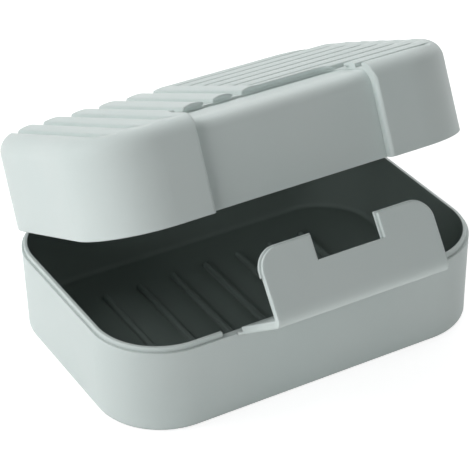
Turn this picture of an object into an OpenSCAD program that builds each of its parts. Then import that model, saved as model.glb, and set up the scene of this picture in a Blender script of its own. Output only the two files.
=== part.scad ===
// Travel soap box: a tub and a ribbed lid with a film hinge between them at the
// rear, and a wide latch strap on a second film hinge at the front rim.
// Origin: centre of the tub's flat underside. +X along the long side to the right,
// +Y to the rear hinge, +Z up. The lid is drawn a little open, the latch undone.

/* [Box] */
// Length of the box along its long side
box_l = 105; // [95:1:125]
// Width of the box from front to rear
box_w = 72.6; // [66:0.2:88]
// Radius of the upright corners at the rim
corner_r = 18.3; // [15:0.1:20]
// Wall thickness of the tub and the lid
wall = 1.6; // [1.4:0.1:2]
// Draft of the upright walls, in degrees
draft_a = 0.8; // [0:0.1:1]

/* [Tub] */
// Height of the tub from its underside to the ledge that the lid closes on
tub_h = 23.1; // [20:0.1:32]
// Thickness of the tub's floor
floor_t = 1.8; // [1.4:0.1:2.4]
// Round along the tub's bottom edge
foot_r = 1.2; // [0.8:0.1:3]
// Height of the inner lip above the ledge
lip_h = 1.2; // [0.8:0.1:1.6]
// Width of the ledge outside the lip
ledge_w = 0.6; // [0.5:0.05:0.8]
// Round along the lip's top edge
lip_r = 0.35; // [0.2:0.05:0.4]
// Length of the gap in the lip behind the latch
lip_gap = 54; // [52:1:58]

/* [Drain bars] */
// Number of bars on the tub's floor that keep the soap out of the water
bar_n = 7; // [3:2:9]
// Distance between the bars
bar_pitch = 10; // [8:0.5:11]
// Width of a bar
bar_w = 1.8; // [1.2:0.1:3]
// Height of a bar above the floor
bar_h = 1.2; // [0.8:0.1:2]
// Length of a bar from front to rear
bar_l = 44; // [30:1:50]

/* [Lid] */
// Height of the lid from its bottom edge to the crest of the ribs
lid_h = 23.7; // [20:0.1:30]
// Round along the lid's top edge
top_r = 4.9; // [4:0.1:8]
// Thickness of the lid's top below the grooves
top_t = 1.6; // [1.2:0.1:2]

/* [Ribs] */
// Distance between the ribs of the left half
left_pitch = 8; // [6.5:0.25:9.5]
// Distance between the ribs of the right half
right_pitch = 8.35; // [6.5:0.05:9.5]
// Width of a rib
rib_w = 5.2; // [4:0.1:5.6]
// Height of a rib's crest above the groove floor
rib_h = 1.5; // [1:0.1:1.8]
// Radius of a rib's crowned top
crown_r = 6.8; // [4.4:0.2:9]
// Groove nearest the seam on the left half, from the middle of the box
left_groove_x = -3.8; // [-4.4:0.1:-2.8]
// Length over which the left half's ribs fade at the front
left_fade_l = 15; // [10:1:20]
// Length over which the right half's ribs fade at the right end
right_fade_l = 7; // [5:1:10]
// Height of the rib crests above the floor where the ribs have faded
fade_drop = 0.3; // [0.2:0.1:0.6]
// Where the right half's grooves begin, from the middle of the box
seam_x = 1.2; // [0.6:0.1:1.8]
// Front groove of the right half, from the middle of the box
front_groove_y = -29.3; // [-30:0.1:-28]

/* [Latch recess] */
// Width of the recess in the lid that takes the latch
recess_w = 48.4; // [47.8:0.1:50]
// Depth of the recess below the lid's front
recess_d = 2.6; // [2.3:0.1:3]
// Depth of the top shelf from the front of the box to its rear wall
shelf_l = 18.1; // [17:0.1:20]
// Height of the rib crests above the shelf
shelf_drop = 2; // [1.6:0.1:2.1]
// Radius of the shelf's rear corners
shelf_corner_r = 5.5; // [4:0.25:6]
// Round between the recess and the shelf
recess_edge_r = 3.8; // [3:0.1:5]
// Round on the recess's two upright edges at the front
mouth_r = 1.1; // [0.6:0.1:1.5]
// Height of the snap groove at the foot of the shelf's rear wall
snap_h = 0.9; // [0.8:0.05:1.1]
// Depth of the snap groove
snap_d = 0.55; // [0.5:0.05:0.7]

/* [Latch] */
// Width of the latch strap
latch_w = 46.5; // [44:0.5:47.5]
// Thickness of the latch strap
latch_t = 1.8; // [1.6:0.1:2]
// Round on the outside of the latch's bend
bend_r = 2.2; // [1.9:0.1:3]
// Width of the notch between the two tabs
notch_w = 18.4; // [14:0.2:22]
// Depth of the notch
notch_d = 6; // [4:0.25:8]
// Radius of the tabs' outer corners
tab_r = 5; // [3.5:0.25:5.5]
// Thickness of the snap bead round each tab
bead_t = 0.7; // [0.5:0.05:0.75]
// How far the snap bead stands out of a tab
bead_out = 0.45; // [0.2:0.05:0.5]

/* [Film hinges] */
// Thickness of the film
film_t = 0.45; // [0.35:0.05:0.5]
// Width of the film between the tub and the lid
rear_film_w = 56; // [40:1:60]
// How far the rear hinge's line lies behind the box
rear_film_out = 0.8; // [0.3:0.05:1]
// Length of the film from the front hinge's line to the thick part of the latch
front_film_l = 3.3; // [2.4:0.1:4]

/* [Pose] */
// Opening of the lid as drawn, in degrees
lid_open = 24.3; // [0:0.1:90]
// Opening of the latch as drawn, in degrees
latch_open = 55.2; // [0:0.1:90]

/* [Fits] */
// Gap between the tub's ledge and the closed lid
part_gap = 0.2; // [0.15:0.05:0.3]
// Clearance between the lip and the lid's skirt
lip_gap_c = 0.15; // [0.1:0.05:0.2]
// Clearance between the closed latch and the lid
latch_gap = 0.15; // [0.1:0.05:0.3]
// Clearance between the tips of the latch's tabs and the shelf's rear wall
tab_gap = 0.35; // [0.2:0.05:0.5]

/* [Hidden] */
$fn = 48;
lid_z = tub_h + part_gap;
crest_z = lid_z + lid_h;
groove_z = crest_z - rib_h;
shelf_z = crest_z - shelf_drop;
ceiling_z = min(groove_z, shelf_z) - top_t;
front_y = -box_w / 2;
rear_y = box_w / 2;
shelf_y = front_y + shelf_l;
recess_y = front_y + recess_d;
rear_axis = [rear_y + rear_film_out, tub_h + part_gap / 2];
front_axis = [front_y, tub_h - film_t / 2];
skirt_t = ledge_w - lip_gap_c;
latch_out_y = front_axis[0] - film_t / 2;
latch_top_z = shelf_z + latch_gap + latch_t;
tab_tip_y = shelf_y - tab_gap;
notch_y = tab_tip_y - notch_d;
crown_room = 0.1;
mouth_bite = 0.03;
over = 1;
far = 200;

// Half of an upright section: it leans in by the draft and rolls over at the top
module half_section(half_w, h, edge_r, a) {
    centre_h = h - edge_r;
    centre_x = half_w - (edge_r + centre_h * sin(a)) / cos(a);
    touch = [centre_x + edge_r * cos(a), centre_h + edge_r * sin(a)];
    polygon([[0, 0], [half_w, 0], touch, [centre_x, h], [0, h]]);
    intersection() {
        translate([centre_x, centre_h]) circle(edge_r);
        translate([centre_x, centre_h]) square(edge_r + over);
    }
}

module full_section(half_w, h, edge_r, a) {
    half_section(half_w, h, edge_r, a);
    mirror([1, 0]) half_section(half_w, h, edge_r, a);
}

// A box with round upright corners whose top edge is rounded all the way round
module soft_box(l, w, h, r, edge_r, a) {
    translate([-(l / 2 - r), 0, 0]) rotate([90, 0, 90])
        linear_extrude(l - 2 * r) full_section(w / 2, h, edge_r, a);
    translate([0, w / 2 - r, 0]) rotate([90, 0, 0])
        linear_extrude(w - 2 * r) full_section(l / 2, h, edge_r, a);
    for (sx = [-1, 1], sy = [-1, 1])
        translate([sx * (l / 2 - r), sy * (w / 2 - r), 0])
            rotate_extrude() half_section(r, h, edge_r, a);
}

// The tub's form, set in from its outside and standing on a given floor level
module tub_form(inset, floor_z, edge_r, up = 0) {
    grow = up * tan(draft_a);
    translate([0, 0, tub_h + up]) mirror([0, 0, 1])
        soft_box(box_l - 2 * inset + 2 * grow, box_w - 2 * inset + 2 * grow,
            tub_h + up - floor_z, corner_r - inset + grow, edge_r, draft_a);
}

// The lid's form when closed, set in from its outside, up to a given level
module lid_form(inset, top_z, edge_r) {
    translate([0, 0, lid_z])
        soft_box(box_l - 2 * inset, box_w - 2 * inset, top_z - lid_z,
            corner_r - inset, edge_r, draft_a);
}

module drain_bars() {
    reach = (bar_n - 1) / 2;
    for (i = [-reach:reach])
        translate([i * bar_pitch, bar_l / 2, floor_t]) rotate([90, 0, 0])
            linear_extrude(bar_l) {
                translate([-bar_w / 2, -over / 2]) square([bar_w, bar_h - bar_w / 2 + over / 2]);
                translate([0, bar_h - bar_w / 2]) circle(bar_w / 2);
            }
}

// The lip that the lid's skirt closes over, open behind the latch
module lip() {
    difference() {
        translate([0, 0, tub_h - over])
            soft_box(box_l - 2 * ledge_w, box_w - 2 * ledge_w, lip_h + over,
                corner_r - ledge_w, lip_r, 0);
        translate([-lip_gap / 2, front_y - over, tub_h])
            cube([lip_gap, wall + 3 * over, lip_h + over]);
    }
}

module base_tub() {
    color([0.80, 0.85, 0.83]) difference() {
        union() {
            difference() {
                union() {
                    tub_form(0, 0, foot_r);
                    lip();
                }
                tub_form(wall, floor_t, foot_r, lip_h + over);
            }
            drain_bars();
        }
        // seats of the two films in the ledge
        translate([-rear_film_w / 2, rear_y - ledge_w, tub_h - film_t])
            cube([rear_film_w, ledge_w + over, film_t + over / 4]);
        translate([-latch_w / 2, front_y - over, tub_h - film_t])
            cube([latch_w, ledge_w + over, film_t + over / 4]);
    }
}

// Section of one rib with its crowned top, drawn above the groove floor
module rib_section() {
    intersection() {
        translate([-rib_w / 2, -over]) square([rib_w, rib_h + over]);
        translate([0, rib_h - crown_r]) circle(crown_r);
    }
}

// Groove floor, in a rib's own direction, that rises to where the ribs have faded
module ramp_section(from, to, end) {
    polygon([[from, groove_z - over], [from, groove_z], [to, crest_z - fade_drop],
        [end, crest_z - fade_drop], [end, groove_z - over]]);
}

// The left half's ribs fade to the front and the right half's to the right end
module fade_ramps() {
    translate([-box_l / 2, 0, 0]) rotate([90, 0, 90])
        linear_extrude(box_l / 2 + left_groove_x)
            ramp_section(front_y + top_r + left_fade_l, front_y + top_r, front_y);
    translate([0, box_w / 2, 0]) rotate([90, 0, 0])
        linear_extrude(box_w)
            ramp_section(box_l / 2 - top_r - right_fade_l, box_l / 2 - top_r, box_l / 2);
}

// Ribs of the left half run from front to rear
module left_ribs() {
    n = floor((box_l / 2 + left_groove_x) / left_pitch);
    for (i = [0:n - 1])
        translate([left_groove_x - left_pitch * (i + 0.5), rear_y, groove_z]) rotate([90, 0, 0])
            linear_extrude(box_w) rib_section();
    // the end rib goes on to the left end of the lid
    translate([-box_l / 2, front_y, groove_z - over])
        cube([box_l / 2 + left_groove_x - left_pitch * (n - 0.5), box_w, rib_h + over]);
}

// The last rib of the left half closes the ends of the right half's grooves
module seam_rib() {
    rib_x = left_groove_x + left_pitch / 2;
    translate([rib_x, rear_y, groove_z]) rotate([90, 0, 0])
        linear_extrude(box_w) intersection() {
            rib_section();
            translate([-rib_w, -over]) square([rib_w + seam_x - rib_x, rib_h + 2 * over]);
        }
}

// Ribs of the right half run along the box
module right_ribs() {
    n = ceil(box_w / right_pitch);
    for (i = [-1:n - 1])
        translate([seam_x, front_groove_y + right_pitch * (i + 0.5), groove_z]) rotate([90, 0, 90])
            linear_extrude(box_l / 2) rib_section();
}

module lid_outside() {
    intersection() {
        lid_form(0, crest_z + crown_room, top_r);
        union() {
            translate([-box_l / 2, -box_w / 2, 0]) cube([box_l, box_w, groove_z]);
            fade_ramps();
            left_ribs();
            seam_rib();
            right_ribs();
        }
    }
}

// Plan of the shelf: open to the front, with round rear corners
module shelf_plan(grow) {
    half_w = recess_w / 2 + grow;
    r = shelf_corner_r + grow;
    back_y = shelf_y + grow;
    translate([-half_w, -far / 2]) square([2 * half_w, back_y - r + far / 2]);
    translate([-half_w + r, -far / 2]) square([2 * (half_w - r), back_y + far / 2]);
    for (s = [-1, 1]) translate([s * (half_w - r), back_y - r]) circle(r);
}

// Rounds the recess's two side edges, leaning with the front; the top edge's own
// round lets them fade out
module mouth_rounds() {
    reach = mouth_r - mouth_bite;
    for (s = [0, 1]) mirror([s, 0, 0])
        translate([recess_w / 2, front_y, lid_z]) rotate([-draft_a, 0, 0])
            translate([0, 0, -over]) linear_extrude(lid_h + 2 * over) difference() {
                translate([-over, -over]) square(reach + over);
                translate([reach, reach]) circle(mouth_r);
            }
}

// Section, in Y and Z, of the block that the recess leaves standing
module recess_block(inset) {
    r = recess_edge_r - inset;
    y = recess_y + inset;
    z = shelf_z - inset;
    translate([y, 0]) square([far, z - r]);
    translate([y + r, 0]) square([far, z]);
    translate([y + r, z - r]) circle(r);
}

// What the recess takes out of the lid
module recess_cut() {
    difference() {
        union() {
            linear_extrude(far) shelf_plan(0);
            mouth_rounds();
        }
        rotate([90, 0, 90]) translate([0, 0, -far / 2]) linear_extrude(far) recess_block(0);
    }
    translate([0, 0, shelf_z]) linear_extrude(snap_h) intersection() {
        shelf_plan(snap_d);
        translate([-far / 2, notch_y]) square([far, far]);
    }
}

// The lid's hollow, kept one wall away from the recess
module lid_hollow() {
    difference() {
        lid_form(wall, ceiling_z, top_r - wall);
        translate([-recess_w / 2 - wall, 0, 0]) difference() {
            translate([0, -far, 0]) cube([recess_w + 2 * wall, far, far]);
            rotate([90, 0, 90]) linear_extrude(recess_w + 2 * wall) recess_block(wall);
        }
    }
}

// Room for the tub's lip inside the lid's bottom edge
module lip_room() {
    depth = lip_h - part_gap + lip_gap_c;
    translate([0, 0, lid_z - over])
        soft_box(box_l - 2 * skirt_t, box_w - 2 * skirt_t, depth + over,
            corner_r - skirt_t, lip_r, 0);
}

module lid_closed() {
    difference() {
        lid_outside();
        recess_cut();
        lid_hollow();
        difference() {
            lip_room();
            translate([-lip_gap / 2 + over, -box_w, 0])
                cube([lip_gap - 2 * over, box_w / 2 + wall + recess_d + over, far]);
        }
        // seat of the rear film in the skirt's bottom edge
        translate([-rear_film_w / 2, rear_y - skirt_t, lid_z - over / 4])
            cube([rear_film_w, skirt_t + over, film_t + over / 4]);
    }
}

// Turns what is drawn closed about a hinge line along X, at a given Y and Z
module turned(axis, a) {
    translate([0, axis[0], axis[1]]) rotate([a, 0, 0])
        translate([0, -axis[0], -axis[1]]) children();
}

module lid_shell() {
    color([0.80, 0.85, 0.83]) turned(rear_axis, -lid_open) lid_closed();
}

// Section of the latch, in Y and Z, closed: a leg up the front and a plate on top
module latch_section() {
    leg_z = front_axis[1] + front_film_l;
    translate([latch_out_y, leg_z]) square([latch_t, latch_top_z - bend_r - leg_z]);
    translate([latch_out_y + bend_r, latch_top_z - latch_t])
        square([tab_tip_y - latch_out_y - bend_r, latch_t]);
    intersection() {
        translate([latch_out_y + bend_r, latch_top_z - bend_r]) difference() {
            circle(bend_r);
            circle(bend_r - latch_t);
        }
        translate([latch_out_y - over, latch_top_z - bend_r]) square(bend_r + over);
    }
}

// Plan of the latch with its two round-cornered tabs
module latch_plan(grow) {
    half_w = latch_w / 2 + grow;
    tip_y = tab_tip_y + grow;
    r = tab_r + grow;
    difference() {
        union() {
            translate([-half_w, front_y - far]) square([2 * half_w, tip_y - r - front_y + far]);
            translate([-half_w + r, front_y - far]) square([2 * (half_w - r), tip_y - front_y + far]);
            for (s = [-1, 1]) translate([s * (half_w - r), tip_y - r]) circle(r);
        }
        translate([-notch_w / 2 + grow, notch_y]) square([notch_w - 2 * grow, far]);
    }
}

// Bead round the lower half of each tab, which snaps into the lid's groove
module snap_beads() {
    translate([0, 0, latch_top_z - latch_t]) linear_extrude(bead_t) intersection() {
        latch_plan(bead_out);
        translate([-far / 2, notch_y]) square([far, far]);
    }
}

module latch_strap() {
    color([0.78, 0.83, 0.81]) turned(front_axis, latch_open) {
        intersection() {
            rotate([90, 0, 90]) translate([0, 0, -latch_w / 2])
                linear_extrude(latch_w) latch_section();
            linear_extrude(far) latch_plan(0);
        }
        snap_beads();
    }
}

// Film between tub and lid: seated in both rims, with a bow round the hinge line
module lid_hinge_film() {
    inner_r = part_gap / 2;
    tub_strip = ledge_w + rear_film_out;
    lid_strip = skirt_t + rear_film_out;
    color([0.76, 0.81, 0.79]) rotate([90, 0, 90]) translate([0, 0, -rear_film_w / 2])
        linear_extrude(rear_film_w) translate(rear_axis) {
            translate([-tub_strip, -inner_r - film_t]) square([tub_strip, film_t]);
            rotate(-lid_open) translate([-lid_strip, inner_r]) square([lid_strip, film_t]);
            intersection() {
                difference() {
                    circle(inner_r + film_t);
                    circle(inner_r);
                }
                polygon([[0, 0], [0, -over], [over, -over], [over, over],
                    [over * sin(lid_open), over * cos(lid_open)]]);
            }
        }
}

// Film between tub and latch: seated in the front rim, round at the hinge line
module latch_hinge_film() {
    color([0.76, 0.81, 0.79]) rotate([90, 0, 90]) translate([0, 0, -latch_w / 2])
        linear_extrude(latch_w) translate(front_axis) {
            translate([0, -film_t / 2]) square([ledge_w, film_t]);
            circle(film_t / 2);
            rotate(latch_open) translate([-film_t / 2, 0]) square([film_t, front_film_l]);
        }
}

base_tub();
lid_shell();
latch_strap();
lid_hinge_film();
latch_hinge_film();
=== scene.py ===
"""Travel soap box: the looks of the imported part. Metres, in the part's own frame."""
from math import cos, pi, radians, sin

import bpy
from mathutils import Matrix, Vector


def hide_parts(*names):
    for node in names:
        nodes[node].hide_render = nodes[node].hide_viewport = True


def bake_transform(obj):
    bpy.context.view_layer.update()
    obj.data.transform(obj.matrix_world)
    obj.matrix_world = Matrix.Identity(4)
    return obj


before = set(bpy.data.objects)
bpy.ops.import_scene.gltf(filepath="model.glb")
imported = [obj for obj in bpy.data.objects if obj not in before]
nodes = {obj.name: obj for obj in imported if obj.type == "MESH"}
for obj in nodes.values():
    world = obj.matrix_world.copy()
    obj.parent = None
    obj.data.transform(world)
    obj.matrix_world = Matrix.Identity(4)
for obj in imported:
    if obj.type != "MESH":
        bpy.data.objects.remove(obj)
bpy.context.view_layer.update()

MM = 0.001

# The part's own sizes that the finishes and the film hinges follow. A line that runs along X is
# given by its Y and Z. The lid's and the latch's places are those of the closed box.

# Upright outer face and walls
BOX_HALF = (52.5 * MM, 36.3 * MM)
CORNER_R = 18.3 * MM
WALL = 1.6 * MM
LEDGE_W = 0.6 * MM
SKIRT_T = 0.45 * MM

# Latch recess in the lid: its shelf, its half width, and the roll between shelf and face
SHELF_Z = 45.0 * MM
RECESS_HALF_W = 24.2 * MM
ROLL_R = 3.8 * MM
ROLL_LINE = (-33.7 * MM + ROLL_R, SHELF_Z - ROLL_R)

# Latch strap: the line where it bends over to its tabs
BEND_LINE = (-36.5 * MM, 46.95 * MM)

# Film hinges: their lines and sizes, and how far the lid and the latch stand open at rest. The
# rear film goes round its line in a bow, and the front film turns in a short bend.
FILM_T = 0.45 * MM
REAR_LINE = (37.1 * MM, 23.2 * MM)
REAR_FILM_W = 56 * MM
REAR_BOW = 0.325 * MM
FRONT_LINE = (-36.3 * MM, 22.875 * MM)
FRONT_FILM_W = 46.5 * MM
FRONT_FILM_L = 3.3 * MM
FRONT_BEND = 0.12 * MM
LID_OPEN = radians(24.3)
LATCH_OPEN = radians(55.2)


# Camera, at the photo's own angle

VIEW_TURN = radians(-29.326)
VIEW_RISE = radians(32.261)
VIEW_ROLL = radians(-1.217)
VIEW_POINT = Vector((-207.313, -363.607, 287.626)) * MM
LENS = 148.85
SENSOR = 36
CLIP = (0.01, 20)


def set_camera():
    """Place the camera by its turn, rise and roll."""
    flat = cos(VIEW_RISE)
    back = Vector((sin(VIEW_TURN) * flat, -cos(VIEW_TURN) * flat, sin(VIEW_RISE)))
    right = Vector((cos(VIEW_TURN), sin(VIEW_TURN), 0))
    up = back.cross(right)
    side = right * cos(VIEW_ROLL) + up * sin(VIEW_ROLL)
    rise = up * cos(VIEW_ROLL) - right * sin(VIEW_ROLL)
    data = bpy.data.cameras.new("camera")
    data.sensor_width = SENSOR
    data.sensor_height = SENSOR
    data.lens = LENS
    data.clip_start, data.clip_end = CLIP
    camera = bpy.data.objects.new("camera", data)
    turn = Matrix((side, rise, back)).transposed().to_4x4()
    camera.matrix_world = Matrix.Translation(VIEW_POINT) @ turn
    bpy.context.collection.objects.link(camera)
    bpy.context.scene.camera = camera


# Studio

# Lamps: name, degrees round from +X, degrees up, width in metres, watts
LAMPS = [
    ("key_lamp", 152, 38, 0.5, 4.15),
    ("left_lamp", 180, 22, 0.4, 0.55),
    ("side_lamp", 208, 15, 0.36, 1.7),
    ("front_lamp", 272, 40, 0.5, 0.88),
    ("right_lamp", 330, 16, 0.4, 0.22),
    ("end_lamp", 20, 30, 0.5, 2.0),
    ("rear_lamp", 62, 38, 0.6, 3.05),
]
LAMP_FAR = 0.9
AIM_Z = 30 * MM

WHITE = (1, 1, 1, 1)
ROOM_LIGHT = 0.1

# Floor: the tone that lights the box, and the tone and glow that the camera and gloss see
FLOOR_HALF = 3.0
FLOOR_Z = -0.1 * MM
FLOOR_TONE = 0.93
SEEN_TONE = 0.5
SEEN_GLOW = 0.78


def set_lamps():
    """Square soft lamps round the box, all aimed at its middle."""
    for name, turn, rise, width, watts in LAMPS:
        data = bpy.data.lights.new(name, "AREA")
        data.shape = "SQUARE"
        data.size = width
        data.energy = watts
        lamp = bpy.data.objects.new(name, data)
        turn, rise = radians(turn), radians(rise)
        way = Vector((cos(turn) * cos(rise), sin(turn) * cos(rise), sin(rise)))
        lamp.location = way * LAMP_FAR + Vector((0, 0, AIM_Z))
        lamp.rotation_euler = way.to_track_quat("Z", "Y").to_euler()
        bpy.context.collection.objects.link(lamp)


class Graph:
    """Adds nodes to one node tree; an input takes a socket or a plain value."""

    def __init__(self, tree):
        self.tree = tree

    def feed(self, socket, value):
        """Link another node's socket to an input, or set the input to a value."""
        if isinstance(value, bpy.types.NodeSocket):
            self.tree.links.new(value, socket)
        else:
            socket.default_value = value

    def put(self, kind, sockets=None, **settings):
        """Add a shader node, with its settings made before its inputs are fed."""
        node = self.tree.nodes.new("ShaderNode" + kind)
        for name, value in settings.items():
            setattr(node, name, value)
        for name, value in (sockets or {}).items():
            self.feed(node.inputs[name], value)
        return node

    def group(self, tree, sockets):
        return self.put("Group", sockets, node_tree=tree).outputs

    def math(self, operation, first, second=0.0, clamp=False):
        sockets = {0: first, 1: second}
        return self.put("Math", sockets, operation=operation, use_clamp=clamp).outputs[0]

    def add(self, first, second):
        return self.math("ADD", first, second)

    def minus(self, first, second):
        return self.math("SUBTRACT", first, second)

    def times(self, first, second):
        return self.math("MULTIPLY", first, second)

    def higher(self, first, second):
        return self.math("MAXIMUM", first, second)

    def lower(self, first, second):
        return self.math("MINIMUM", first, second)

    def absolute(self, value):
        return self.math("ABSOLUTE", value)

    def vector(self, operation, first, second=(0, 0, 0)):
        return self.put("VectorMath", {0: first, 1: second}, operation=operation).outputs[0]

    def dot(self, first, second):
        node = self.put("VectorMath", {0: first, 1: second}, operation="DOT_PRODUCT")
        return node.outputs["Value"]

    def length(self, vector):
        return self.put("VectorMath", {0: vector}, operation="LENGTH").outputs["Value"]

    def split(self, vector):
        return self.put("SeparateXYZ", {0: vector}).outputs

    def join(self, x, y, z):
        return self.put("CombineXYZ", {0: x, 1: y, 2: z}).outputs[0]

    def from_line(self, place, line):
        """How far a place is from a line along X."""
        _, y, z = self.split(place)
        return self.length(self.join(0.0, self.minus(y, line[0]), self.minus(z, line[1])))

    def fit(self, value, low, high, to_low=0.0, to_high=1.0, shape="SMOOTHSTEP"):
        """Carry a value's range, which may run downwards, over to another range."""
        sockets = {"Value": value, "From Min": low, "From Max": high,
                   "To Min": to_low, "To Max": to_high}
        return self.put("MapRange", sockets, interpolation_type=shape).outputs["Result"]

    def blend(self, share, first, second, mode="MIX"):
        """Mix two colours; the Mix node tells its sockets apart by identifier only."""
        node = self.put("Mix", data_type="RGBA", blend_type=mode)
        inputs = {socket.identifier: socket for socket in node.inputs}
        self.feed(inputs["Factor_Float"], share)
        self.feed(inputs["A_Color"], first)
        self.feed(inputs["B_Color"], second)
        return next(s for s in node.outputs if s.identifier == "Result_Color")

    def noise(self, place, scale, detail=2.0, roughness=0.5):
        sockets = {"Vector": place, "Scale": scale, "Detail": detail, "Roughness": roughness}
        return self.put("TexNoise", sockets).outputs[0]


def set_room():
    """White to the camera, and a faint even light on the box."""
    world = bpy.data.worlds.new("room")
    bpy.context.scene.world = world
    world.use_nodes = True
    world.node_tree.nodes.clear()
    g = Graph(world.node_tree)
    seen = g.put("Background", {"Color": WHITE, "Strength": 1.0})
    light = g.put("Background", {"Color": WHITE, "Strength": ROOM_LIGHT})
    path = g.put("LightPath").outputs["Is Camera Ray"]
    mix = g.put("MixShader", {0: path, 1: light.outputs[0], 2: seen.outputs[0]})
    g.put("OutputWorld", {"Surface": mix.outputs[0]})


def set_floor():
    """Pale floor that looks white, and still takes the box's shadow."""
    mesh = bpy.data.meshes.new("floor")
    h = FLOOR_HALF
    mesh.from_pydata([(-h, -h, 0), (h, -h, 0), (h, h, 0), (-h, h, 0)], [], [(0, 1, 2, 3)])
    floor = bpy.data.objects.new("floor", mesh)
    floor.location = (0, 0, FLOOR_Z)
    bpy.context.collection.objects.link(floor)
    mat = bpy.data.materials.new("pale floor")
    mat.use_nodes = True
    mat.node_tree.nodes.clear()
    g = Graph(mat.node_tree)
    path = g.put("LightPath").outputs
    seen = g.math("ADD", path["Is Camera Ray"], path["Is Glossy Ray"], clamp=True)
    paint = g.put("BsdfDiffuse", {"Color": g.fit(seen, 0, 1, FLOOR_TONE, SEEN_TONE, "LINEAR")})
    glow = g.put("Emission", {"Strength": g.times(seen, SEEN_GLOW)})
    both = g.put("AddShader", {0: paint.outputs[0], 1: glow.outputs[0]})
    g.put("OutputMaterial", {"Surface": both.outputs[0]})
    mesh.materials.append(mat)


# Node groups that the plastics share

# A noise's middle value, and the span that nearly all its values lie in
NOISE_MEAN = 0.5
NOISE_SPAN = (0.3, 0.7)

# Grain: scales as shares of the grain's own, and parts of its height
CELL_SCALE = 0.7
CLOUD_SCALE = 0.06
FINE_PART = 0.65
CELL_PART = 0.35

# Rubbed edges: cosine of the turn that rounding gives the normal, from no wear to full wear,
# and patches per metre
EDGE_TURN = (0.995, 0.8)
RUB_SCALE = 260.0
RUB_PATCH = (0.42, 0.68)

# Creases: how much open sky is left where the painted shade and light in them start, and where they
# are full
SKY = (0.95, 0.35)

# Pin rings: half width of the line, and where it has faded
RING_LINE = (0.09 * MM, 0.24 * MM)

# Scuffs: turn and narrowness of the two directions, marks and patches per metre
SCUFF_WAYS = ((0.6, 26.0), (-1.1, 31.0))
SCUFF_SCALE = 110.0
SCUFF_MARK = (0.66, 0.74)
SCUFF_PATCH_SCALE = 55.0
SCUFF_PATCH = (0.45, 0.7)


def new_group(name, inputs, outputs):
    """Start a node group; its inputs and outputs are given as label and kind."""
    tree = bpy.data.node_groups.new(name, "ShaderNodeTree")
    for label, kind in inputs:
        tree.interface.new_socket(label, in_out="INPUT", socket_type="NodeSocket" + kind)
    for label, kind in outputs:
        tree.interface.new_socket(label, in_out="OUTPUT", socket_type="NodeSocket" + kind)
    source = tree.nodes.new("NodeGroupInput").outputs
    sink = tree.nodes.new("NodeGroupOutput").inputs
    return tree, Graph(tree), source, sink


def moulding_grain():
    """Fine matt grain of the mould, with softer clouds many grains wide."""
    tree, g, source, sink = new_group(
        "Moulding grain",
        [("Place", "Vector"), ("Grain", "Float")],
        [("Height", "Float"), ("Cloud", "Float")])
    place = source["Place"]
    scale = g.math("DIVIDE", 1.0, source["Grain"])
    fine = g.noise(place, scale, detail=3.0, roughness=0.62)
    cell_sockets = {"Vector": place, "Scale": g.times(scale, CELL_SCALE)}
    cells = g.put("TexVoronoi", cell_sockets, feature="SMOOTH_F1").outputs["Distance"]
    g.feed(sink["Height"], g.add(g.times(fine, FINE_PART), g.times(cells, CELL_PART)))
    g.feed(sink["Cloud"], g.noise(place, g.times(scale, CLOUD_SCALE)))
    return tree


def colour_mottle():
    """Very soft drift of the pigment, some centimetres wide, from -1 to 1."""
    tree, g, source, sink = new_group(
        "Colour mottle",
        [("Place", "Vector"), ("Width", "Float")],
        [("Drift", "Float")])
    scale = g.math("DIVIDE", 1.0, source["Width"])
    drift = g.noise(source["Place"], scale, detail=1.5, roughness=0.45)
    g.feed(sink["Drift"], g.fit(drift, *NOISE_SPAN, -1, 1, "LINEAR"))
    return tree


def edge_wear():
    """Rounded normals on sharp edges, and how much a handled edge is rubbed."""
    tree, g, source, sink = new_group(
        "Edge wear",
        [("Place", "Vector"), ("Radius", "Float")],
        [("Normal", "Vector"), ("Rub", "Float")])
    soft = g.put("Bevel", {"Radius": source["Radius"]}, samples=7).outputs[0]
    true = g.put("NewGeometry").outputs["True Normal"]
    edge = g.fit(g.dot(soft, true), *EDGE_TURN)
    patch = g.fit(g.noise(source["Place"], RUB_SCALE, detail=3.0, roughness=0.6), *RUB_PATCH)
    g.feed(sink["Normal"], soft)
    g.feed(sink["Rub"], g.times(edge, patch))
    return tree


def crease_shade():
    """How deep a place sits in a groove or corner, from 0 in the open to 1."""
    tree, g, source, sink = new_group(
        "Crease shade",
        [("Reach", "Float")],
        [("Shade", "Float")])
    sky = g.put("AmbientOcclusion", {"Distance": source["Reach"]}, samples=5).outputs["AO"]
    g.feed(sink["Shade"], g.fit(sky, *SKY))
    return tree


def depth_inside():
    """How far a place lies inside an upright rounded box, negative outside it."""
    tree, g, source, sink = new_group(
        "Depth inside",
        [("Place", "Vector"), ("Half length", "Float"), ("Half width", "Float"),
         ("Corner", "Float")],
        [("Depth", "Float")])
    corner = source["Corner"]
    x, y, _ = g.split(g.vector("ABSOLUTE", source["Place"]))
    past_x = g.minus(x, g.minus(source["Half length"], corner))
    past_y = g.minus(y, g.minus(source["Half width"], corner))
    beyond = g.length(g.join(g.higher(past_x, 0.0), g.higher(past_y, 0.0), 0.0))
    within = g.lower(g.higher(past_x, past_y), 0.0)
    outside = g.minus(g.add(beyond, within), corner)
    g.feed(sink["Depth"], g.times(outside, -1.0))
    return tree


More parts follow.
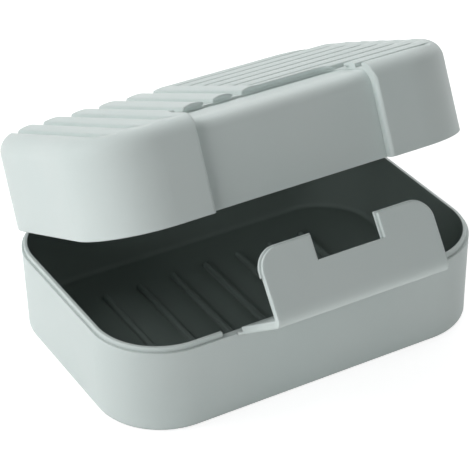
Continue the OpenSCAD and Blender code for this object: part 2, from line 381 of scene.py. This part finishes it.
def pin_rings():
    """Faint rings that four ejector pins leave, set out evenly about the middle."""
    tree, g, source, sink = new_group(
        "Pin rings",
        [("Place", "Vector"), ("Out X", "Float"), ("Out Y", "Float"), ("Radius", "Float")],
        [("Ring", "Float")])
    x, y, _ = g.split(g.vector("ABSOLUTE", source["Place"]))
    out = g.length(g.join(g.minus(x, source["Out X"]), g.minus(y, source["Out Y"]), 0.0))
    from_ring = g.absolute(g.minus(out, source["Radius"]))
    g.feed(sink["Ring"], g.fit(from_ring, *RING_LINE, 1.0, 0.0))
    return tree


def fine_scuffs():
    """Thin short scratches in two directions, gathered in patches."""
    tree, g, source, sink = new_group(
        "Fine scuffs",
        [("Place", "Vector"), ("Amount", "Float")],
        [("Scuff", "Float")])
    marks = []
    for angle, narrow in SCUFF_WAYS:
        turn = {"Vector": source["Place"], "Angle": angle}
        turned = g.put("VectorRotate", turn, rotation_type="Z_AXIS").outputs[0]
        place = g.vector("MULTIPLY", turned, (1.0, narrow, 1.0))
        marks.append(g.fit(g.noise(place, SCUFF_SCALE, roughness=0.55), *SCUFF_MARK))
    patch = g.fit(g.noise(source["Place"], SCUFF_PATCH_SCALE), *SCUFF_PATCH)
    scuffs = g.times(g.higher(*marks), patch)
    g.feed(sink["Scuff"], g.times(scuffs, source["Amount"]))
    return tree


GROUPS = {
    "grain": moulding_grain(),
    "mottle": colour_mottle(),
    "edge": edge_wear(),
    "crease": crease_shade(),
    "depth": depth_inside(),
    "rings": pin_rings(),
    "scuffs": fine_scuffs(),
}


# Plastics

def linear(r, g, b):
    """A colour given in sRGB, 0 to 255, as the linear colour that a socket takes."""
    return tuple(((c / 255 + 0.055) / 1.055) ** 2.4 for c in (r, g, b)) + (1,)


SAGE = linear(207, 217, 215)
SAGE_LATCH = linear(206, 216, 214)
SAGE_FILM = linear(206, 215, 213)
# Pale of rubbed edges, scuffs and flexed films; on the latch's edges partly a painted highlight
RUBBED_AND_HIGHLIGHT = linear(224, 231, 229)
# Painted light: paler rib grooves and a highlight along the latch's bend
PAINTED_LIGHT = linear(228, 238, 235)
# Painted shade for grooves and corners
SHADED = linear(120, 132, 128)
# Painted shade within the walls of tub and lid
PAINTED_INSIDE_SHADE = linear(126, 138, 134)

# Matt skin of the polypropylene, and how much smoother or rougher it gets
MATT = 0.56
GLOSS = 0.4
CLOUD_ROUGHER = 0.16
INSIDE_ROUGHER = 0.06
RUB_SMOOTHER = 0.1
SCUFF_SMOOTHER = 0.08

# Milky body: its share, how deep the light goes in, and how it spreads in each colour
MILKY = 0.2
MILKY_DEPTH = 1.2 * MM
MILKY_SPREAD = (1.0, 1.0, 1.0)

# Widths of one grain and of one drift of the pigment
GRAIN = 0.34 * MM
MOTTLE_W = 24 * MM

# Small marks: paleness and depth of a scuff, radius and depth of an ejector pin's ring
SCUFF_PALE = 0.35
SCUFF_DEEP = 0.012 * MM
PIN_R = 2.6 * MM
PIN_DEEP = 0.05 * MM


class Plastic:
    """One matt sage plastic: colour, roughness and height are built up in layers."""

    def __init__(self, name, colour):
        self.mat = bpy.data.materials.new(name)
        self.mat.use_nodes = True
        self.g = Graph(self.mat.node_tree)
        self.place = self.g.put("TexCoord").outputs["Object"]
        self.colour = colour
        self.rough = MATT
        self.height = 0.0
        self.normal = None

    def paint(self, share, colour):
        self.colour = self.g.blend(share, self.colour, colour)

    def roughen(self, share, change):
        self.rough = self.g.add(self.rough, self.g.times(share, change))

    def raise_by(self, share, metres):
        self.height = self.g.add(self.height, self.g.times(share, metres))

    def turn_shut(self, line, angle):
        """Read the places as in the closed box, turned back about a hinge line."""
        turn = {"Vector": self.place, "Center": (0, *line), "Angle": angle}
        self.place = self.g.put("VectorRotate", turn, rotation_type="X_AXIS").outputs[0]

    def depth(self):
        """How far a place lies inside the box's upright outer face."""
        sockets = {"Place": self.place, "Half length": BOX_HALF[0], "Half width": BOX_HALF[1],
                   "Corner": CORNER_R}
        return self.g.group(GROUPS["depth"], sockets)["Depth"]

    def mould(self, grain, drift):
        """Grain height and pigment drift, as the mould and the melt leave them."""
        g = self.g
        skin = g.group(GROUPS["grain"], {"Place": self.place, "Grain": GRAIN})
        mottle = g.group(GROUPS["mottle"], {"Place": self.place, "Width": MOTTLE_W})["Drift"]
        tone = g.fit(mottle, -1, 1, 1 - drift, 1 + drift, "LINEAR")
        cool = g.fit(mottle, -1, 1, 1 - drift / 2, 1 + drift / 2, "LINEAR")
        self.colour = g.blend(1.0, self.colour, g.join(tone, cool, cool), "MULTIPLY")
        self.raise_by(skin["Height"], grain)
        self.roughen(g.minus(skin["Cloud"], NOISE_MEAN), CLOUD_ROUGHER)

    def mark_pins(self, out, share):
        """Sunk rings of the ejector pins, out from the middle in X and Y."""
        sockets = {"Place": self.place, "Out X": out[0], "Out Y": out[1], "Radius": PIN_R}
        rings = self.g.group(GROUPS["rings"], sockets)["Ring"]
        self.raise_by(self.g.times(rings, share), -PIN_DEEP)

    def handle(self, radius, rub, scuff):
        """Rounded edges that hands have rubbed, and light scuffs."""
        g = self.g
        edge = g.group(GROUPS["edge"], {"Place": self.place, "Radius": radius})
        marks = g.group(GROUPS["scuffs"], {"Place": self.place, "Amount": scuff})["Scuff"]
        self.normal = edge["Normal"]
        self.paint(g.times(edge["Rub"], rub), RUBBED_AND_HIGHLIGHT)
        self.paint(g.times(marks, SCUFF_PALE), RUBBED_AND_HIGHLIGHT)
        self.roughen(edge["Rub"], -RUB_SMOOTHER)
        self.roughen(marks, -SCUFF_SMOOTHER)
        self.raise_by(marks, -SCUFF_DEEP)

    def paint_crease_light_shade(self, reach, share, colour=SHADED):
        """Painted shade in grooves and corners, in the given colour; a pale colour paints light
        there instead.
        """
        shade = self.g.group(GROUPS["crease"], {"Reach": reach})["Shade"]
        self.paint(self.g.times(shade, share), colour)

    def paint_inside_shade(self, inside):
        """Painted shade within the walls: a darker colour there, and a rougher skin."""
        self.paint(inside, PAINTED_INSIDE_SHADE)
        self.roughen(inside, INSIDE_ROUGHER)

    def close(self):
        """Lead the layers to the shader and give back the material."""
        g = self.g
        skin = self.mat.node_tree.nodes["Principled BSDF"]
        bump = g.put("Bump", {"Height": self.height, "Normal": self.normal,
                              "Strength": 1.0, "Distance": 1.0})
        g.feed(skin.inputs["Base Color"], self.colour)
        g.feed(skin.inputs["Roughness"], self.rough)
        g.feed(skin.inputs["Normal"], bump.outputs[0])
        skin.inputs["Specular IOR Level"].default_value = GLOSS
        skin.inputs["Subsurface Weight"].default_value = MILKY
        skin.inputs["Subsurface Scale"].default_value = MILKY_DEPTH
        skin.inputs["Subsurface Radius"].default_value = MILKY_SPREAD
        return self.mat


# Tub and lid share one grain height and one drift
SHELL_GRAIN = 0.024 * MM
SHELL_DRIFT = 0.014

# Tub: depth where the inside starts, heights of floor and underside, and the pins
TUB_WALL_IN = (WALL - 0.2 * MM, WALL + 0.02 * MM)
TUB_FLOOR = (0.8 * MM, 1.0 * MM)
TUB_UNDER = (0.5 * MM, 0.1 * MM)
TUB_PINS = (36 * MM, 20 * MM)

# Gate mark in the middle of the underside: a dish with a nub in it
DISH_R = (1.3 * MM, 0.9 * MM)
DISH_DEEP = 0.12 * MM
NUB_R = (0.6 * MM, 0.3 * MM)
NUB_H = 0.14 * MM

# Scuffs on the tub's wall: from this height down to the foot, and how many there
TUB_SCUFF_Z = (9 * MM, 0.3 * MM)
TUB_SCUFFS = (0.12, 0.9)


def tub_plastic():
    """Pale outside with painted shade inside, and pin rings and the gate mark underneath."""
    p = Plastic("sage tub", SAGE)
    g = p.g
    p.mould(SHELL_GRAIN, SHELL_DRIFT)
    x, y, z = g.split(p.place)
    # Where painted shade goes: within the walls and above the floor
    inside = g.times(g.fit(p.depth(), *TUB_WALL_IN), g.fit(z, *TUB_FLOOR))
    under = g.fit(z, *TUB_UNDER)
    from_gate = g.length(g.join(x, y, 0.0))
    p.mark_pins(TUB_PINS, under)
    p.raise_by(g.times(g.fit(from_gate, *DISH_R), under), -DISH_DEEP)
    p.raise_by(g.times(g.fit(from_gate, *NUB_R), under), NUB_H)
    p.handle(radius=0.35 * MM, rub=0.3, scuff=g.fit(z, *TUB_SCUFF_Z, *TUB_SCUFFS))
    # Painted shade in the tub's grooves and corners
    p.paint_crease_light_shade(reach=1.6 * MM, share=0.4)
    # Painted shade within the tub's walls
    p.paint_inside_shade(inside)
    return p.close()


# Lid: depth where the inside starts, height of the top's underside, and the pins
LID_WALL_IN = (1.0 * MM, 1.3 * MM)
LID_TOP_IN = (SHELF_Z - 0.7 * MM, SHELF_Z - 0.9 * MM)
LID_PINS = (34 * MM, 18 * MM)

# Inside, beyond the recess: past its roll by the distance from its line, past its side by X
PAST_ROLL = (ROLL_R - 0.35 * MM, ROLL_R - 0.55 * MM)
PAST_SIDE = (RECESS_HALF_W + 0.7 * MM, RECESS_HALF_W + 0.9 * MM)

# Ribs: height where they rise, height of their crests, and X where the left ones end
RIB_FOOT = (SHELF_Z - 1.5 * MM, SHELF_Z + 0.3 * MM)
RIB_CREST = (SHELF_Z + 1.2 * MM, SHELF_Z + 2.0 * MM)
LEFT_RIBS = (2 * MM, 0.0)
CREST_SMOOTHER = 0.05

# Radius of the lid's edges, of its ribs, and what the left ribs add to it
LID_EDGE_R = 0.3 * MM
RIB_EDGE_R = 0.65 * MM
LEFT_EDGE_R = 0.25 * MM

# How strongly painted light makes the ribs' grooves paler, and what the left ones add to it
RIB_GROOVE_LIGHT = 0.25
LEFT_GROOVE_LIGHT = 0.25

# Scuffs on the lid: from the shelf's height up to the crests, and how many there
LID_SCUFF_Z = (SHELF_Z, SHELF_Z + 2.0 * MM)
LID_SCUFFS = (0.12, 0.5)


def lid_plastic():
    """Pale outside with painted shade inside, softer edges, and painted light that makes the ribs'
    grooves paler.
    """
    p = Plastic("sage lid", SAGE)
    g = p.g
    p.turn_shut(REAR_LINE, LID_OPEN)
    p.mould(SHELL_GRAIN, SHELL_DRIFT)
    x, y, z = g.split(p.place)
    # Within the walls and under the top, leaving out the recess: where painted shade and the pin
    # rings go
    in_walls = g.times(g.fit(p.depth(), *LID_WALL_IN), g.fit(z, *LID_TOP_IN))
    behind = g.higher(g.minus(ROLL_LINE[0], y), 0.0)
    above = g.higher(g.minus(z, ROLL_LINE[1]), 0.0)
    past_roll = g.fit(g.length(g.join(behind, above, 0.0)), *PAST_ROLL)
    past_side = g.fit(g.absolute(x), *PAST_SIDE)
    inside = g.times(in_walls, g.higher(past_roll, past_side))
    p.mark_pins(LID_PINS, inside)
    p.roughen(g.fit(z, *RIB_CREST), -CREST_SMOOTHER)
    ribbed = g.fit(z, *RIB_FOOT)
    left_ribs = g.times(ribbed, g.fit(x, *LEFT_RIBS))
    radius = g.add(g.fit(ribbed, 0, 1, LID_EDGE_R, RIB_EDGE_R), g.times(left_ribs, LEFT_EDGE_R))
    p.handle(radius, rub=0.2, scuff=g.fit(z, *LID_SCUFF_Z, *LID_SCUFFS))
    # Painted shade in grooves and corners, fading out on the ribs
    p.paint_crease_light_shade(reach=1.8 * MM, share=g.fit(ribbed, 0, 1, 0.15, 0.0))
    # Painted light that makes the ribs' grooves paler, more on the left ones
    groove_light = g.add(g.times(ribbed, RIB_GROOVE_LIGHT), g.times(left_ribs, LEFT_GROOVE_LIGHT))
    p.paint_crease_light_shade(reach=2.2 * MM, share=groove_light, colour=PAINTED_LIGHT)
    # Painted shade within the lid's walls
    p.paint_inside_shade(inside)
    return p.close()


# Latch: how far the painted highlight reaches from its bend, how strong it is, and a smoother skin
BEND_HIGHLIGHT_REACH = (4.0 * MM, 0.8 * MM)
BEND_HIGHLIGHT = 0.4
LATCH_SMOOTHER = 0.04


def latch_plastic():
    """Smoother than the box, with a painted highlight along the bend, and rubbed edges painted
    paler, partly wear and partly painted highlight.
    """
    p = Plastic("sage latch", SAGE_LATCH)
    g = p.g
    p.turn_shut(FRONT_LINE, -LATCH_OPEN)
    p.mould(grain=0.018 * MM, drift=0.012)
    # Painted highlight along the bend
    bend_highlight = g.fit(g.from_line(p.place, BEND_LINE), *BEND_HIGHLIGHT_REACH)
    p.paint(g.times(bend_highlight, BEND_HIGHLIGHT), PAINTED_LIGHT)
    p.rough = g.minus(p.rough, LATCH_SMOOTHER)
    # Rubbed edges painted paler: partly wear, partly a painted highlight along the tabs' edges
    p.handle(radius=0.6 * MM, rub=0.5, scuff=0.4)
    # Painted shade in the latch's grooves and corners
    p.paint_crease_light_shade(reach=1.2 * MM, share=0.2)
    return p.close()


# Flexed films: streaks per metre, drawn out along X, their height, and how pale they get. The
# whitening is full within a share of its reach.
STREAK_SCALE = 5200.0
STREAK_DRAW = (0.05, 1.0, 1.0)
STREAK_H = 0.02 * MM
STREAK_WHITE = (0.35, 0.8)
FLEX_FULL = 0.25
FLEX_SMOOTHER = 0.08


def film_plastic(name, line, reach):
    """Thin web: fine lines along the hinge, whitened where it flexes."""
    p = Plastic(name, SAGE_FILM)
    g = p.g
    p.mould(grain=0.008 * MM, drift=0.012)
    p.handle(radius=0.15 * MM, rub=0.2, scuff=0.1)
    flexed = g.fit(g.from_line(p.place, line), reach, reach * FLEX_FULL)
    drawn = g.vector("MULTIPLY", p.place, STREAK_DRAW)
    streaks = g.noise(drawn, STREAK_SCALE, roughness=0.6)
    p.paint(g.times(flexed, g.fit(streaks, *NOISE_SPAN, *STREAK_WHITE)), RUBBED_AND_HIGHLIGHT)
    p.raise_by(streaks, STREAK_H)
    p.roughen(flexed, -FLEX_SMOOTHER)
    return p.close()


# Film hinges

# Steps of a web across its width
FILM_COLUMNS = 28

# The drawn webs keep a hair inside their solids: short of each end, over the width, and by a
# share of the thickness
FILM_SHORT = 0.01 * MM
FILM_NARROW = 0.1 * MM
FILM_THIN = 0.97

# Share of the thickness that is lost right at the hinge line
FILM_WAIST = 0.3


def film_strip(name, middle, half_t, width):
    """A thin web: a middle line in Y and Z, thickened to both sides, drawn out along X."""
    upper, lower = [], []
    for i, point in enumerate(middle):
        before = middle[max(i - 1, 0)]
        after = middle[min(i + 1, len(middle) - 1)]
        along = Vector((after[0] - before[0], after[1] - before[1])).normalized()
        side = Vector((-along.y, along.x)) * half_t[i]
        upper.append(Vector(point) + side)
        lower.append(Vector(point) - side)
    outline = upper + lower[::-1]
    n = len(outline)
    verts = []
    for c in range(FILM_COLUMNS + 1):
        x = width * (c / FILM_COLUMNS - 0.5)
        verts += [(x, p.x, p.y) for p in outline]
    last = FILM_COLUMNS * n
    faces = [tuple(range(n)), tuple(reversed(range(last, last + n)))]
    for start in range(0, last, n):
        for i in range(n):
            j = (i + 1) % n
            faces.append((start + i, start + n + i, start + n + j, start + j))
    mesh = bpy.data.meshes.new(name)
    mesh.from_pydata(verts, [], faces)
    mesh.validate()
    film = bpy.data.objects.new(name, mesh)
    bpy.context.collection.objects.link(film)
    for face in mesh.polygons:
        face.use_smooth = len(face.vertices) == 4
    return film


def run(start, end, steps):
    """Points evenly along a straight line, without its end."""
    return [(start[0] + (end[0] - start[0]) * i / steps, start[1] + (end[1] - start[1]) * i / steps)
            for i in range(steps)]


def web_half(middle, line, reach):
    """Half the thickness at each point of a web, which is thinner near its hinge line."""
    half_t = []
    for y, z in middle:
        near = max(0.0, 1 - Vector((y - line[0], z - line[1])).length / reach)
        half_t.append(FILM_T / 2 * (FILM_THIN - FILM_WAIST * near))
    return half_t


def rear_film():
    """From the tub's ledge, round the hinge line in a half pipe, and up the lid's skirt."""
    y0, z0 = REAR_LINE
    seat_y = BOX_HALF[1] - LEDGE_W + FILM_SHORT
    seat_steps, arc_steps, strip_steps = 6, 28, 6
    middle = run((seat_y, z0 - REAR_BOW), (y0, z0 - REAR_BOW), seat_steps)
    arc_start = -pi / 2
    arc_end = pi / 2 - LID_OPEN
    for i in range(arc_steps):
        a = arc_start + (arc_end - arc_start) * i / arc_steps
        middle.append((y0 + REAR_BOW * cos(a), z0 + REAR_BOW * sin(a)))
    strip = SKIRT_T + (y0 - BOX_HALF[1]) - FILM_SHORT
    start = (y0 + REAR_BOW * cos(arc_end), z0 + REAR_BOW * sin(arc_end))
    end = (start[0] - strip * cos(LID_OPEN), start[1] + strip * sin(LID_OPEN))
    middle += run(start, end, strip_steps) + [end]
    half_t = web_half(middle, REAR_LINE, reach=0.75 * MM)
    film = film_strip("rear_film", middle, half_t, REAR_FILM_W - FILM_NARROW)
    film.data.materials.append(film_plastic("sage rear film", REAR_LINE, reach=0.8 * MM))
    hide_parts("lid_hinge_film")
    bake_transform(film)


def front_film():
    """From the tub's ledge out to the hinge line, and up along the latch strap's foot."""
    y0, z0 = FRONT_LINE
    seat_y = y0 + LEDGE_W - FILM_SHORT
    leaf = (-sin(LATCH_OPEN), cos(LATCH_OPEN))
    bend_in = (y0 + FRONT_BEND, z0)
    bend_out = (y0 + leaf[0] * FRONT_BEND, z0 + leaf[1] * FRONT_BEND)
    seat_steps, bend_steps, leaf_steps = 5, 6, 12
    middle = run((seat_y, z0), bend_in, seat_steps)
    for i in range(bend_steps):
        t = i / bend_steps
        a, b, c = (1 - t) ** 2, 2 * t * (1 - t), t ** 2
        middle.append((a * bend_in[0] + b * y0 + c * bend_out[0],
                       a * bend_in[1] + b * z0 + c * bend_out[1]))
    reach = FRONT_FILM_L - FILM_SHORT
    end = (y0 + leaf[0] * reach, z0 + leaf[1] * reach)
    middle += run(bend_out, end, leaf_steps) + [end]
    half_t = web_half(middle, FRONT_LINE, reach=0.6 * MM)
    film = film_strip("front_film", middle, half_t, FRONT_FILM_W - FILM_NARROW)
    film.data.materials.append(film_plastic("sage front film", FRONT_LINE, reach=0.7 * MM))
    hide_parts("latch_hinge_film")
    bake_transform(film)


def dress():
    """Give the three rigid pieces their plastics, and draw the two films."""
    looks = {"base_tub": tub_plastic(), "lid_shell": lid_plastic(), "latch_strap": latch_plastic()}
    for name, mat in looks.items():
        for spot in nodes[name].material_slots:
            spot.material = mat
    rear_film()
    front_film()


bpy.context.scene.view_settings.view_transform = "Standard"
set_camera()
set_lamps()
set_room()
set_floor()
dress()
